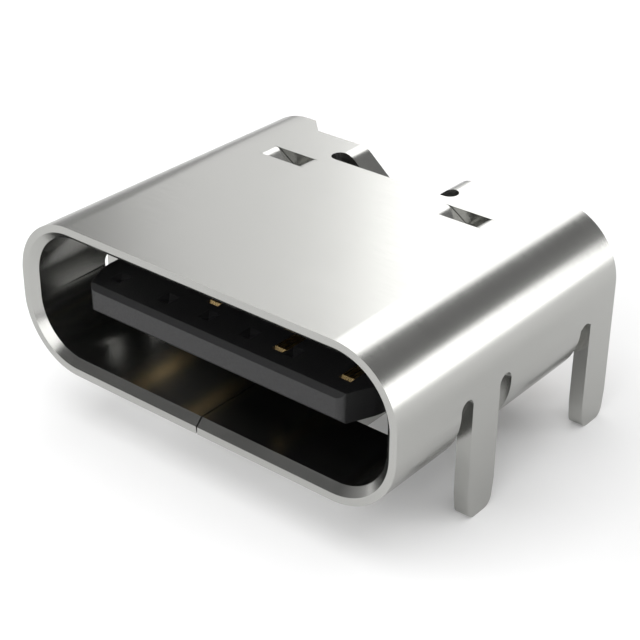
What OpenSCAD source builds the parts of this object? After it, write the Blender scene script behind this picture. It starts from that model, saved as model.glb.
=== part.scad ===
// Six-contact power socket for a board: a folded metal shell on four stakes, round a moulded tongue.
// +X is the socket's width, +Y runs from its mouth to its tails, +Z is up, and z = 0 is the board.
// The origin is midway between the two locating pegs, on the board.

/* [Shell] */
// Width over the folded shell
shell_w = 8.94; // [8.4:0.02:11]
// Height over the folded shell
shell_h = 3.16; // [3.0:0.02:3.9]
// Depth of the shell's sides, from the mouth to the rear edge
shell_depth = 6.88; // [6.88:0.02:8.4]
// Thickness of the metal strip
wall = 0.30; // [0.22:0.01:0.36]
// Outside radius of the four long bends
corner_r = 1.35; // [1.1:0.01:1.5]
// Size of the lead-in chamfer inside the mouth
mouth_flare = 0.15; // [0.05:0.01:0.2]
// Gap under the shell, above the board
standoff = 0.10; // [0.02:0.01:0.2]
// Width of the butt seam along the floor
seam_gap = 0.03; // [0.01:0.01:0.06]
// Depth at which the floor stops, from the mouth
floor_depth = 5.30; // [5.0:0.02:5.36]
// Length of the dovetail tab in the seam
dovetail_len = 1.10; // [0.8:0.05:1.6]
// Reach of the dovetail tab across the seam
dovetail_w = 0.60; // [0.4:0.05:0.8]
// Amount by which each flank of the dovetail flares
dovetail_flare = 0.12; // [0.05:0.01:0.15]
// Distance from the mouth to the middle of the dovetail
dovetail_y = 2.60; // [1.6:0.05:3.6]

/* [Board stakes] */
// Width of a stake
stake_w = 0.82; // [0.6:0.01:1.0]
// Reach of a stake below the board's top face
stake_reach = 1.00; // [0.7:0.01:1.3]
// Radius of a stake's two tip corners
stake_tip_r = 0.19; // [0.05:0.01:0.2]
// Amount that each side of a stake's tip draws in
stake_taper = 0.07; // [0:0.01:0.12]
// Length of the tapered tip
stake_taper_len = 0.55; // [0.3:0.01:0.6]
// Distance from the mouth to the middle of a front stake
front_stake_y = 2.60; // [2.0:0.01:3.4]
// Width of the relief slot beside a stake
relief_w = 0.35; // [0.25:0.01:0.45]
// Height of the front relief slots above the shell's underside
front_relief_h = 1.56; // [1.45:0.01:1.7]
// Height of the rear relief slots above the shell's underside
rear_relief_h = 1.36; // [1.36:0.01:1.7]

/* [Roof] */
// Distance by which the middle of the roof stops short of the sides
roof_setback = 0.40; // [0.2:0.01:0.5]
// Width of the part of the roof that is set back
setback_w = 5.00; // [4.4:0.02:5.6]
// Distance between the two roof lances
lance_pitch = 4.24; // [4.0:0.02:4.6]
// Distance from the mouth to the middle of a lance
lance_y = 5.08; // [5.06:0.01:5.12]
// Length of a lance, across the socket
lance_len = 1.12; // [0.8:0.02:1.2]
// Width of the strip pressed down in a lance
lance_w = 0.46; // [0.36:0.01:0.48]
// Distance by which a lance is pressed down
lance_drop = 0.28; // [0.15:0.01:0.4]
// Length of the flat stub at each end of a lance
lance_land = 0.02; // [0:0.01:0.1]
// Distance from the mouth to the rear cut-out
cutout_y = 5.57; // [5.5:0.01:5.7]
// Width of the cut-out's slot, in depth
cutout_slot = 0.38; // [0.3:0.01:0.42]
// Width of the cut-out over its round ends
cutout_w = 3.04; // [2.8:0.02:3.2]
// Distance between the bend lines of the two ears
ear_span = 2.80; // [2.6:0.02:2.9]
// Angle at which an ear is bent down
ear_angle = 40; // [25:1:45]
// Inside radius of an ear's bend
ear_bend_r = 0.15; // [0.1:0.01:0.3]
// Straight length of an ear past its bend
ear_len = 0.80; // [0.4:0.01:0.85]

/* [Tongue] */
// Width of the tongue
tongue_w = 6.69; // [6.4:0.01:6.9]
// Thickness of the tongue
tongue_t = 0.60; // [0.56:0.01:0.74]
// Distance from the mouth to the tongue's tip
tongue_start = 0.36; // [0.2:0.01:0.6]
// Length of the tongue, from its tip to the wall behind it
tongue_len = 4.45; // [4.3:0.01:4.47]
// Bevel along the tip's upper and lower edges
nose_bevel = 0.10; // [0.04:0.01:0.14]
// Amount cut from each front corner, across the tongue
nose_cut_w = 0.33; // [0.1:0.01:0.4]
// Amount cut from each front corner, along the tongue
nose_cut_len = 0.73; // [0.3:0.01:0.8]
// Radius of the tongue's upright corners
nose_round = 0.18; // [0.05:0.01:0.2]
// Length of the thicker root of the tongue
root_len = 0.70; // [0.4:0.01:0.9]
// Thickness of the root
root_t = 1.20; // [0.9:0.01:1.4]
// Size of a core-pin mark across the tongue
mark_w = 0.28; // [0.1:0.01:0.3]
// Size of a core-pin mark along the tongue
mark_len = 0.34; // [0.1:0.01:0.4]
// Depth of a core-pin mark
mark_depth = 0.05; // [0.03:0.01:0.1]
// Distance from the tip to the middle of the row of marks
mark_y = 0.57; // [0.5:0.01:0.8]

/* [Contacts] */
// Spacing of contact positions
contact_pitch = 0.50; // [0.45:0.01:0.55]
// Width of a contact
contact_w = 0.27; // [0.2:0.01:0.32]
// Thickness of a contact
contact_t = 0.15; // [0.1:0.01:0.15]
// Distance from the tongue's tip to a power or ground contact
power_start = 0.44; // [0.42:0.01:0.6]
// Distance from the tongue's tip to a control contact
control_start = 0.93; // [0.7:0.01:1.2]
// Length of the sloped front end of a contact
contact_slope = 0.11; // [0.05:0.01:0.14]
// Inside radius of a contact's bends
contact_bend_r = 0.10; // [0.06:0.01:0.14]
// Offset of the two inner tails
inner_tail_x = 0.50; // [0.4:0.01:0.6]
// Offset of the two middle tails
middle_tail_x = 1.52; // [1.3:0.01:1.7]
// Offset of the two outer tails
outer_tail_x = 2.75; // [2.6:0.01:2.9]
// Distance that the tails reach past the shell's sides
tail_reach = 0.27; // [0.1:0.01:0.6]
// Gap between the housing's back and the upper contacts' tails
tail_gap = 0.03; // [0.01:0.01:0.1]

/* [Housing] */
// Clearance between the housing and the shell
fit_gap = 0.03; // [0.02:0.01:0.06]
// Width of the seat under the housing, on the shell's floor
seat_w = 5.80; // [4.0:0.02:6.0]
// Thickness of the wall behind the tongue
flange_t = 0.58; // [0.54:0.01:0.6]
// Distance from the mouth to the housing's back
housing_depth = 6.30; // [6.2:0.01:6.36]
// Width of the foot that stands on the board
foot_w = 6.60; // [6.5:0.02:6.8]
// Height to which the housing's back rises between the ears
ledge_h = 2.20; // [2.1:0.01:2.3]
// Diameter of a locating peg
peg_d = 0.50; // [0.4:0.01:0.6]
// Distance between the locating pegs
peg_pitch = 5.78; // [5.6:0.01:5.9]
// Length of a locating peg below the board's top face
peg_len = 0.60; // [0.3:0.01:0.8]
// Length of the cone on a locating peg's tip
peg_cone = 0.12; // [0.05:0.01:0.2]
// Distance from the mouth to the locating pegs
peg_depth = 5.75; // [5.7:0.01:5.9]

/* [Latch plate] */
// Thickness of the latch plate
plate_t = 0.10; // [0.08:0.01:0.14]
// Width of the plate and of the carriers' webs inside the tongue
core_w = 5.90; // [5.84:0.01:6.0]
// Distance from the tongue's tip to the webs and the plate
core_start = 0.39; // [0.3:0.01:0.41]
// Width of the plate inside the housing
plate_base_w = 7.40; // [6.8:0.02:7.6]
// Distance from the tongue's tip to a latch lug
lug_start = 1.50; // [1.2:0.01:1.8]
// Length of a latch lug
lug_len = 1.20; // [0.8:0.01:1.4]
// Length of the notch behind a latch lug
notch_len = 0.80; // [0.4:0.01:0.9]
// Depth of the notch behind a latch lug
notch_w = 0.24; // [0.1:0.01:0.3]

/* [Hidden] */
$fn = 48;
// Overshoot of a cutting shape past the face that it opens
eps = 0.01;
// Number of steps in a rounded corner of an outline, and in a lance
round_steps = 5;
lance_steps = 16;

// Heights above the board
axis_z = standoff + shell_h / 2;
roof_top = standoff + shell_h;
roof_under = roof_top - wall;
bend_z = standoff + corner_r;

// Depths from the mouth
shell_flat_w = shell_w - 2 * corner_r;
shell_flat_h = shell_h - 2 * corner_r;
rear_stake_y = shell_depth - stake_w / 2;
roof_depth = shell_depth - roof_setback;
ear_y = cutout_y + cutout_slot;
ear_w = roof_depth - ear_y;
flange_y = tongue_start + tongue_len;
carrier_y = flange_y + flange_t;
tail_end = shell_depth + tail_reach;

// A stake is cut from the lower bend and the floor, so its window is as long as the flat stake and
// the relief past its tip
stake_drop = corner_r + standoff + stake_reach;
window_x = shell_flat_w / 2 - (stake_drop - PI / 2 * (corner_r - wall / 2)) - relief_w;

// Inside faces of the shell, and the housing section that fits them
bore_w = shell_w - 2 * wall;
bore_h = shell_h - 2 * wall;
bore_r = corner_r - wall;

// Contacts lie on a web of each carrier, and the two webs lie on the latch plate
web_top = tongue_t / 2 - contact_t;
upper_drop_y = housing_depth + tail_gap;
lower_drop_y = carrier_y + 0.62 * (housing_depth - carrier_y) - contact_t;
jog_y = carrier_y + 0.03;
jog_len = lower_drop_y - contact_bend_r - jog_y;

// Positions across the tongue: the lower row is the upper row turned half round the socket's axis
end_x = 5.5 * contact_pitch;
power_x = 2.5 * contact_pitch;
control_x = 1.5 * contact_pitch;
mark_xs = [-end_x, -3 * contact_pitch, -contact_pitch, contact_pitch, 3 * contact_pitch];

metal_colour = "#c9c8c4";
plastic_colour = "#1c1c1d";
carrier_colour = "#232325";
plate_colour = "#a3a29c";
gold_colour = "#c8a45c";

// Moves a shape drawn from the mouth to the part's own origin
module from_mouth() {
    translate([0, -peg_depth, 0]) children();
}

// Stands a section drawn in X and Z up, so that its extrusion runs back along the depth
module along_depth(y = 0) {
    translate([0, y, 0]) rotate([90, 0, 0]) mirror([0, 0, 1]) children();
}

// Turns a profile drawn in Y and Z so that its extrusion runs across the width
module across_width() {
    rotate([90, 0, 90]) children();
}

// Repeats a shape on both sides of the socket
module both_sides() {
    children();
    mirror([1, 0, 0]) children();
}

// Points of an arc about a centre, from one angle to another
function arc(centre, r, from, to, steps = round_steps) =
    [for (i = [0 : steps]) let (a = from + (to - from) * i / steps) centre + r * [cos(a), sin(a)]];

// ---- Metal shell ----

// Section of the strip from its bend centre outwards, with the lead-in chamfer at the mouth
module strip_section() {
    polygon([[corner_r, 0], [corner_r, shell_depth], [bore_r, shell_depth],
             [bore_r, mouth_flare], [bore_r + mouth_flare, 0]]);
}

module strip_bend(x, z, turn) {
    translate([x, z, 0]) rotate(turn) rotate_extrude(angle = 90) strip_section();
}

module strip_flat(length, offset, turn) {
    rotate(turn) translate([0, offset, 0]) rotate([90, 0, 90])
        linear_extrude(length, center = true) strip_section();
}

// The strip folded into a tube, before anything is cut from it
module folded_tube() {
    x = shell_flat_w / 2;
    z = shell_flat_h / 2;
    translate([0, 0, axis_z]) along_depth() {
        strip_bend(x, z, 0);
        strip_bend(-x, z, 90);
        strip_bend(-x, -z, 180);
        strip_bend(x, -z, 270);
        strip_flat(shell_flat_w, z, 0);
        strip_flat(shell_flat_w, z, 180);
        strip_flat(shell_flat_h, x, 90);
        strip_flat(shell_flat_h, x, 270);
    }
}

// One relief slot beside a stake, seen from the side: straight flanks and a round top
module relief_slot(y, height) {
    translate([y, standoff + height - relief_w / 2]) circle(d = relief_w);
    translate([y - relief_w / 2, standoff - eps]) square([relief_w, height - relief_w / 2 + eps]);
}

// The window that a stake leaves in the lower bend, with a relief slot on each side of it
module stake_window(y, height) {
    side = (stake_w + relief_w) / 2;
    translate([window_x, 0, 0]) across_width() linear_extrude(shell_w / 2) {
        relief_slot(y - side, height);
        relief_slot(y + side, height);
        translate([y - side, standoff - eps]) square([2 * side, corner_r + eps]);
    }
}

// A stake, seen from the side: parallel flanks, a tapered tip and two small tip corners
module stake_outline() {
    half = stake_w / 2;
    tip = half - stake_taper - stake_tip_r;
    corner_z = -stake_reach + stake_tip_r;
    polygon([[-half, bend_z], [-half, -stake_reach + stake_taper_len], [-half + stake_taper, corner_z],
             [-tip, -stake_reach], [tip, -stake_reach], [half - stake_taper, corner_z],
             [half, -stake_reach + stake_taper_len], [half, bend_z]]);
    for (side = [-1, 1]) translate([side * tip, corner_z]) circle(r = stake_tip_r);
}

module stake(y) {
    translate([shell_w / 2 - wall, y, 0]) across_width() linear_extrude(wall) stake_outline();
}

// Height of a lance's upper face below the roof, a fraction t of the way along its dip
function lance_dip(t) = -lance_drop / 2 * (1 - cos(360 * t));

// The pressed strip of a lance: a shallow V with a rounded foot, the same height of metal all along
module lance_section() {
    dip_len = lance_len - 2 * lance_land;
    steps = [for (i = [0 : lance_steps]) i / lance_steps];
    upper = [for (t = steps) [dip_len * (t - 0.5), lance_dip(t)]];
    lower = [for (i = [lance_steps : -1 : 0]) upper[i] - [0, wall]];
    half = lance_len / 2;
    polygon(concat([[-half, 0]], upper, [[half, 0], [half, -wall]], lower, [[-half, -wall]]));
}

module lance() {
    slit = fit_gap / 2;
    translate([lance_pitch / 2, 0, roof_top]) along_depth(lance_y - lance_w / 2 + slit)
        linear_extrude(lance_w - 2 * slit) lance_section();
}

module lance_opening() {
    translate([(lance_pitch - lance_len) / 2, lance_y - lance_w / 2, roof_under - eps])
        cube([lance_len, lance_w, wall + 2 * eps]);
}

// The slot and the open bay between the ears, in plan
module cutout_outline() {
    r = cutout_slot / 2;
    for (side = [-1, 1]) translate([side * (cutout_w / 2 - r), cutout_y + r]) circle(r);
    translate([-cutout_w / 2 + r, cutout_y]) square([cutout_w - 2 * r, cutout_slot]);
    translate([-ear_span / 2, cutout_y + r]) square([ear_span, shell_depth - cutout_y]);
}

// The middle of the roof stops short of the sides, with a slanted step at each end
module setback_outline() {
    x = setback_w / 2;
    polygon([[-x, roof_depth], [x, roof_depth], [x + roof_setback + eps, shell_depth + eps],
             [-x - roof_setback - eps, shell_depth + eps]]);
}

module roof_openings() {
    translate([0, 0, axis_z]) linear_extrude(shell_h) {
        cutout_outline();
        setback_outline();
    }
    both_sides() lance_opening();
}

// An ear, bent down from the roof towards the middle behind the housing
module ear() {
    translate([ear_span / 2, 0, roof_under - ear_bend_r]) along_depth(ear_y) {
        rotate(90) rotate_extrude(angle = ear_angle) translate([ear_bend_r, 0]) square([wall, ear_w]);
        rotate(90 + ear_angle) translate([ear_bend_r, 0, 0]) cube([wall, ear_len, ear_w]);
    }
}

// Outline of the dovetail tab, grown all round by a margin
module dovetail_outline(margin) {
    wide = dovetail_len / 2 + margin;
    neck = wide - dovetail_flare;
    tip = -dovetail_w - margin;
    translate([0, dovetail_y]) polygon([[margin, -neck], [tip, -wide], [tip, wide], [margin, neck]]);
}

module seam() {
    translate([0, 0, standoff - eps]) linear_extrude(wall + mouth_flare) {
        translate([-seam_gap / 2, -eps]) square([seam_gap, shell_depth]);
        dovetail_outline(seam_gap);
    }
}

module dovetail_tab() {
    neck = dovetail_len - 2 * (dovetail_flare + seam_gap);
    translate([0, 0, standoff]) linear_extrude(wall) {
        dovetail_outline(0);
        translate([0, dovetail_y - neck / 2]) square([seam_gap, neck]);
    }
}

// The floor stops in front of the foot, and the rear stakes' windows run out at the rear edge
module rear_openings() {
    foot_side = foot_w / 2 + fit_gap;
    translate([-foot_side, floor_depth, standoff - eps])
        cube([2 * foot_side, shell_depth, corner_r - eps]);
    both_sides() stake_window(rear_stake_y, rear_relief_h);
}

module metal_shell() {
    color(metal_colour) from_mouth() {
        difference() {
            folded_tube();
            roof_openings();
            rear_openings();
            both_sides() stake_window(front_stake_y, front_relief_h);
            seam();
        }
        dovetail_tab();
        both_sides() {
            stake(front_stake_y);
            stake(rear_stake_y);
            lance();
            ear();
        }
    }
}

// ---- Contacts ----

// Side view of a contact: sloped front end, flat blade, a bend down to the board and a foot
module contact_profile(start, top, drop_y, upper) {
    outer_r = contact_bend_r + contact_t;
    nose = upper ? [[start, top - contact_slope], [start + contact_slope, top]]
                 : [[start, top]];
    chin = upper ? [[start, top - contact_t]]
                 : [[start + contact_slope, top - contact_t], [start, top - contact_t + contact_slope]];
    polygon(concat(
        nose,
        arc([drop_y + contact_t - outer_r, top - outer_r], outer_r, 90, 0),
        arc([drop_y + contact_t + contact_bend_r, outer_r], contact_bend_r, 180, 270),
        [[tail_end, contact_t], [tail_end, 0]],
        arc([drop_y + contact_t + contact_bend_r, outer_r], outer_r, 270, 180),
        arc([drop_y + contact_t - outer_r, top - outer_r], contact_bend_r, 0, 90),
        chin));
}

// Plan of a contact: straight along the tongue, a jog inside the housing, then straight to its tail
module contact_plan(x, tail_x, start) {
    half = contact_w / 2;
    polygon([[x - half, start], [x + half, start], [x + half, jog_y], [tail_x + half, jog_y + jog_len],
             [tail_x + half, tail_end], [tail_x - half, tail_end], [tail_x - half, jog_y + jog_len],
             [x - half, jog_y]]);
}

module contact(x, tail_x, start, upper) {
    y = tongue_start + start;
    top = axis_z + (upper ? tongue_t / 2 : -web_top);
    drop_y = upper ? upper_drop_y : lower_drop_y;
    intersection() {
        translate([-shell_w / 2, 0, 0]) across_width() linear_extrude(shell_w)
            contact_profile(y, top, drop_y, upper);
        translate([0, 0, -eps]) linear_extrude(roof_top) contact_plan(x, tail_x, y);
    }
}

module upper_contacts() {
    contact(-control_x, -inner_tail_x, control_start, true);
    contact(power_x, middle_tail_x, power_start, true);
    contact(end_x, outer_tail_x, power_start, true);
}

module lower_contacts() {
    contact(control_x, inner_tail_x, control_start, false);
    contact(-power_x, -middle_tail_x, power_start, false);
    contact(-end_x, -outer_tail_x, power_start, false);
}

module plated_contact(x, tail_x, start, upper) {
    color(gold_colour) from_mouth() contact(x, tail_x, start, upper);
}

module contact_a5() { plated_contact(-control_x, -inner_tail_x, control_start, true); }
module contact_a9() { plated_contact(power_x, middle_tail_x, power_start, true); }
module contact_a12() { plated_contact(end_x, outer_tail_x, power_start, true); }
module contact_b5() { plated_contact(control_x, inner_tail_x, control_start, false); }
module contact_b9() { plated_contact(-power_x, -middle_tail_x, power_start, false); }
module contact_b12() { plated_contact(-end_x, -outer_tail_x, power_start, false); }

// ---- Moulded housing ----

// Section of the housing: the shell's bore less the fit gap, with a flat seat on the shell's floor
module housing_section() {
    x = bore_w / 2 - bore_r;
    z = bore_h / 2 - bore_r;
    r = bore_r - fit_gap;
    translate([0, axis_z]) {
        for (sx = [-1, 1], sz = [-1, 1]) translate([sx * x, sz * z]) circle(r);
        square([2 * x, 2 * (z + r)], center = true);
        square([2 * (x + r), 2 * z], center = true);
        translate([-seat_w / 2, -bore_h / 2]) square([seat_w, bore_h / 2]);
    }
}

// A slab of the housing, from one depth to another
module housing_slab(y0, y1) {
    along_depth(y0) linear_extrude(y1 - y0) housing_section();
}

// A block centred across the width, from [y, z] to [y, z]
module block(width, low, high) {
    translate([-width / 2, low[0], low[1]]) cube([width, high[0] - low[0], high[1] - low[1]]);
}

// Plan of the tongue: cut and rounded front corners
module tongue_plan() {
    half = tongue_w / 2;
    cut = atan2(nose_cut_len, nose_cut_w);
    back = tongue_start + nose_cut_len;
    trim = nose_round * tan(cut / 2);
    right = concat(
        arc([half - nose_cut_w - trim, tongue_start + nose_round], nose_round, -90, cut - 90),
        [[half, back], [half, carrier_y]]);
    left = [for (i = [len(right) - 1 : -1 : 0]) [-right[i][0], right[i][1]]];
    polygon(concat(right, left));
}

// Side view of the tongue: bevelled nose
module tongue_side() {
    half = tongue_t / 2;
    polygon([[tongue_start, -half + nose_bevel], [tongue_start + nose_bevel, -half], [carrier_y, -half],
             [carrier_y, half], [tongue_start + nose_bevel, half], [tongue_start, half - nose_bevel]]);
}

module tongue_blade() {
    intersection() {
        translate([0, 0, axis_z - tongue_t]) linear_extrude(2 * tongue_t) tongue_plan();
        translate([-tongue_w, 0, axis_z]) across_width() linear_extrude(2 * tongue_w) tongue_side();
    }
}

// A core-pin mark: a four-sided pit that narrows downwards, where two wedges cross
module mark(x) {
    translate([x, tongue_start + mark_y, axis_z + tongue_t / 2]) intersection() {
        translate([-mark_w, 0, 0]) across_width() linear_extrude(2 * mark_w) wedge(mark_len / 2);
        along_depth(-mark_len) linear_extrude(2 * mark_len) wedge(mark_w / 2);
    }
}

module wedge(half) {
    polygon([[-half, eps], [-half, 0], [0, -mark_depth], [half, 0], [half, eps]]);
}

// Turns a shape half round the socket's own axis, which gives the lower row from the upper one
module half_turn() {
    translate([0, 0, axis_z]) rotate([0, 180, 0]) translate([0, 0, -axis_z]) children();
}

// The channel in the tongue that one contact lies in
module contact_channel(x, start) {
    translate([x - contact_w / 2, tongue_start + start, axis_z + web_top])
        cube([contact_w, carrier_y, contact_t + eps]);
}

module upper_tongue_cuts() {
    contact_channel(-control_x, control_start);
    contact_channel(power_x, power_start);
    contact_channel(end_x, power_start);
    for (x = mark_xs) mark(x);
}

// Slot for a lance through the top of the wall behind the tongue, closed behind by the upper carrier
module lance_pocket() {
    room = 2 * fit_gap;
    pocket_w = lance_len + 2 * room;
    translate([(lance_pitch - pocket_w) / 2, flange_y - eps, roof_under - lance_drop - room])
        cube([pocket_w, flange_t + 2 * eps, lance_drop + 2 * room]);
}

module tongue_mould() {
    core_y = tongue_start + core_start;
    notch_y = tongue_start + lug_start + lug_len;
    color(plastic_colour) from_mouth() difference() {
        union() {
            tongue_blade();
            block(tongue_w, [flange_y - root_len, axis_z - root_t / 2], [carrier_y, axis_z + root_t / 2]);
            housing_slab(flange_y, carrier_y);
        }
        block(core_w, [core_y, axis_z - web_top], [carrier_y + eps, axis_z + web_top]);
        block(shell_w, [tongue_start + lug_start, axis_z - plate_t / 2], [notch_y, axis_z + plate_t / 2]);
        both_sides() translate([tongue_w / 2 - notch_w, notch_y, axis_z - tongue_t])
            cube([1, notch_len, 2 * tongue_t]);
        upper_tongue_cuts();
        half_turn() upper_tongue_cuts();
        both_sides() lance_pocket();
    }
}

// The upper carrier holds the upper contacts, and is open behind for the two ears
module upper_carrier() {
    bay_w = ear_span + 2 * (wall + fit_gap);
    under = axis_z + plate_t / 2;
    color(carrier_colour) from_mouth() difference() {
        union() {
            block(core_w, [tongue_start + core_start, under], [carrier_y, axis_z + web_top]);
            intersection() {
                housing_slab(carrier_y, housing_depth);
                block(shell_w, [carrier_y, under], [housing_depth, roof_top]);
            }
        }
        block(bay_w, [ear_y - fit_gap, ledge_h], [housing_depth + eps, roof_top]);
        upper_contacts();
    }
}

module locating_peg() {
    translate([peg_pitch / 2, peg_depth, -peg_len]) {
        translate([0, 0, peg_cone]) cylinder(h = peg_len - peg_cone + eps, d = peg_d);
        cylinder(h = peg_cone, d1 = peg_d - 2 * peg_cone, d2 = peg_d);
    }
}

// Plan of the latch plate: narrow in the tongue, a lug on each side, wide in the housing
module plate_outline() {
    back = housing_depth - 0.1;
    translate([-core_w / 2, tongue_start + core_start]) square([core_w, back - tongue_start - core_start]);
    translate([-tongue_w / 2, tongue_start + lug_start]) square([tongue_w, lug_len]);
    translate([-plate_base_w / 2, carrier_y]) square([plate_base_w, back - carrier_y]);
}

module plate_blank() {
    translate([0, 0, axis_z - plate_t / 2]) linear_extrude(plate_t) plate_outline();
}

// The lower carrier holds the lower contacts, and stands on the board between its two pegs
module lower_carrier() {
    over = axis_z + plate_t / 2;
    color(carrier_colour) from_mouth() difference() {
        union() {
            block(core_w, [tongue_start + core_start, axis_z - web_top], [carrier_y, axis_z - plate_t / 2]);
            intersection() {
                housing_slab(carrier_y, housing_depth);
                block(shell_w, [carrier_y, 0], [housing_depth, over]);
            }
            block(foot_w, [carrier_y, 0], [housing_depth, standoff + corner_r]);
            both_sides() locating_peg();
        }
        plate_blank();
        lower_contacts();
    }
}

module latch_plate() {
    color(plate_colour) from_mouth() plate_blank();
}

metal_shell();
tongue_mould();
upper_carrier();
lower_carrier();
latch_plate();
contact_a5();
contact_a9();
contact_a12();
contact_b5();
contact_b9();
contact_b12();
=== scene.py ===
"""A board-mounted USB-C socket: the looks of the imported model, built round it in its own frame.

A piece is made in millimetres, with its depths measured from the mouth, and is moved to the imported
model's frame, in metres, when it is finished.
"""

import logging
import math
from collections.abc import Callable, Iterator
from contextlib import contextmanager
from dataclasses import dataclass
from enum import Enum

import bmesh
import bpy
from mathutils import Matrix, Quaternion, Vector


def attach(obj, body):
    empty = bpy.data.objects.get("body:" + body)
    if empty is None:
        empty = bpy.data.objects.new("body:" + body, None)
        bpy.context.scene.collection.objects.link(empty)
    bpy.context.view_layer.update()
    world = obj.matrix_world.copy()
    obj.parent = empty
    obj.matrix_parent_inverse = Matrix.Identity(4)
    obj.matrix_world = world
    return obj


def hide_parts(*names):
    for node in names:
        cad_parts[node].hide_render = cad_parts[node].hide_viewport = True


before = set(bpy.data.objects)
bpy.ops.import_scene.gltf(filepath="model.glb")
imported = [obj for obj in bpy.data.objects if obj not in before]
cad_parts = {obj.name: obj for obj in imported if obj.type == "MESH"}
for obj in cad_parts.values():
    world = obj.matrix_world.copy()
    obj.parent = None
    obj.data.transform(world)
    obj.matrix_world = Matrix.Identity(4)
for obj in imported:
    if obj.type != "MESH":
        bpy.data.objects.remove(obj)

log = logging.getLogger("socket")

MM = 0.001
# How far a through cutter runs past what it cuts, and how far a shallow one overshoots the face it opens
PAST = 1.0
OVER = 0.1

Point = tuple[float, float, float]
Span = tuple[float, float]
Places = list[Span]


# ---- Bench: the few operations that every piece is made with ----


def deselect() -> None:
    """Leaves nothing selected, so that an operator acts only on what is picked next."""
    bpy.ops.object.select_all(action="DESELECT")


def pick(piece: bpy.types.Object) -> None:
    """Makes a piece the only one selected, and the active one.

    Args:
        piece: The piece to work on.
    """
    deselect()
    piece.select_set(True)
    bpy.context.view_layer.objects.active = piece


def block(name: str, low: Point, high: Point) -> bpy.types.Object:
    """Adds a rectangular blank between two corners.

    Args:
        name: The blank's name.
        low: Its lowest corner, in millimetres.
        high: Its highest corner, in millimetres.

    Returns:
        The new blank, with its place in its mesh.
    """
    deselect()
    centre = [(a + b) / 2 for a, b in zip(low, high)]
    bpy.ops.mesh.primitive_cube_add(size=1, location=centre)
    piece = bpy.context.object
    piece.name = name
    piece.scale = [b - a for a, b in zip(low, high)]
    settle(piece)
    return piece


def settle(piece: bpy.types.Object) -> None:
    """Puts a piece's place, turn and size into its mesh.

    Args:
        piece: The piece to settle.
    """
    pick(piece)
    bpy.ops.object.transform_apply(location=True, rotation=True, scale=True)


@contextmanager
def editing(piece: bpy.types.Object) -> Iterator[bmesh.types.BMesh]:
    """Opens a piece in edit mode with nothing selected, and closes it afterwards.

    Args:
        piece: The piece to shape.

    Yields:
        Its edit mesh, on which faces and edges are selected before an operator runs.
    """
    pick(piece)
    bpy.ops.object.mode_set(mode="EDIT")
    bpy.ops.mesh.select_mode(type="EDGE")
    bpy.ops.mesh.select_all(action="DESELECT")
    yield bmesh.from_edit_mesh(piece.data)
    bpy.ops.object.mode_set(mode="OBJECT")


def ease_edges(
    piece: bpy.types.Object,
    wanted: Callable[[bmesh.types.BMEdge], bool],
    offset: float,
    segments: int = 1,
) -> None:
    """Bevels the edges of a piece that pass a test.

    Args:
        piece: The piece to shape.
        wanted: Says whether an edge is bevelled.
        offset: The bevel's width on each side of the edge, in millimetres.
        segments: 1 for a chamfer, or more for a round.
    """
    with editing(piece) as mesh:
        for edge in mesh.edges:
            edge.select = wanted(edge)
        bpy.ops.mesh.bevel(offset=offset, segments=segments, affect="EDGES", clamp_overlap=False)


def upright_at(places: Places, slack: float = 1e-3) -> Callable[[bmesh.types.BMEdge], bool]:
    """Makes a test for upright edges that stand at given places.

    Args:
        places: Where the edges stand, across and along.
        slack: How far off a place may be.

    Returns:
        A test for ease_edges.
    """

    def test(edge: bmesh.types.BMEdge) -> bool:
        """Says whether an edge is upright and stands at one of the places."""
        a, b = (v.co for v in edge.verts)
        if abs(a.x - b.x) > slack or abs(a.y - b.y) > slack:
            return False
        return any(abs(a.x - x) < slack and abs(a.y - y) < slack for x, y in places)

    return test


def slice_off(piece: bpy.types.Object, point: Point, normal: Point) -> None:
    """Cuts away what lies beyond a plane, and closes the cut.

    Args:
        piece: The piece to cut.
        point: A point on the plane.
        normal: The plane's normal, which points at what goes.
    """
    with editing(piece):
        bpy.ops.mesh.select_all(action="SELECT")
        bpy.ops.mesh.bisect(plane_co=point, plane_no=normal, use_fill=True, clear_outer=True)


def score(piece: bpy.types.Object, axis: int, places: list[float]) -> None:
    """Scores a piece right through at each place along an axis, so that it can be bent there.

    Args:
        piece: The piece to score.
        axis: 0, 1 or 2 for X, Y or Z.
        places: Where the lines fall.
    """
    normal = [float(i == axis) for i in range(3)]
    with editing(piece):
        for place in places:
            bpy.ops.mesh.select_all(action="SELECT")
            bpy.ops.mesh.bisect(plane_co=[n * place for n in normal], plane_no=normal)


def finish_modifier(piece: bpy.types.Object, kind: str, **settings: object) -> None:
    """Adds a modifier with its settings and applies it.

    Args:
        piece: The piece to modify.
        kind: The modifier's type.
        **settings: Its properties.
    """
    pick(piece)
    modifier = piece.modifiers.new(kind.lower(), kind)
    for name, value in settings.items():
        setattr(modifier, name, value)
    bpy.ops.object.modifier_apply(modifier=modifier.name)


def cut(piece: bpy.types.Object, *cutters: bpy.types.Object) -> None:
    """Cuts each cutter out of a piece, and throws the cutters away.

    Args:
        piece: The piece to cut.
        *cutters: What is taken from it.
    """
    for cutter in cutters:
        finish_modifier(piece, "BOOLEAN", object=cutter, operation="DIFFERENCE", solver="EXACT")
        bpy.data.objects.remove(cutter)


def weld(piece: bpy.types.Object, other: bpy.types.Object) -> None:
    """Joins another solid to a piece.

    Args:
        piece: The piece that stays.
        other: The solid that becomes part of it.
    """
    finish_modifier(piece, "BOOLEAN", object=other, operation="UNION", solver="EXACT")
    bpy.data.objects.remove(other)


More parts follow.
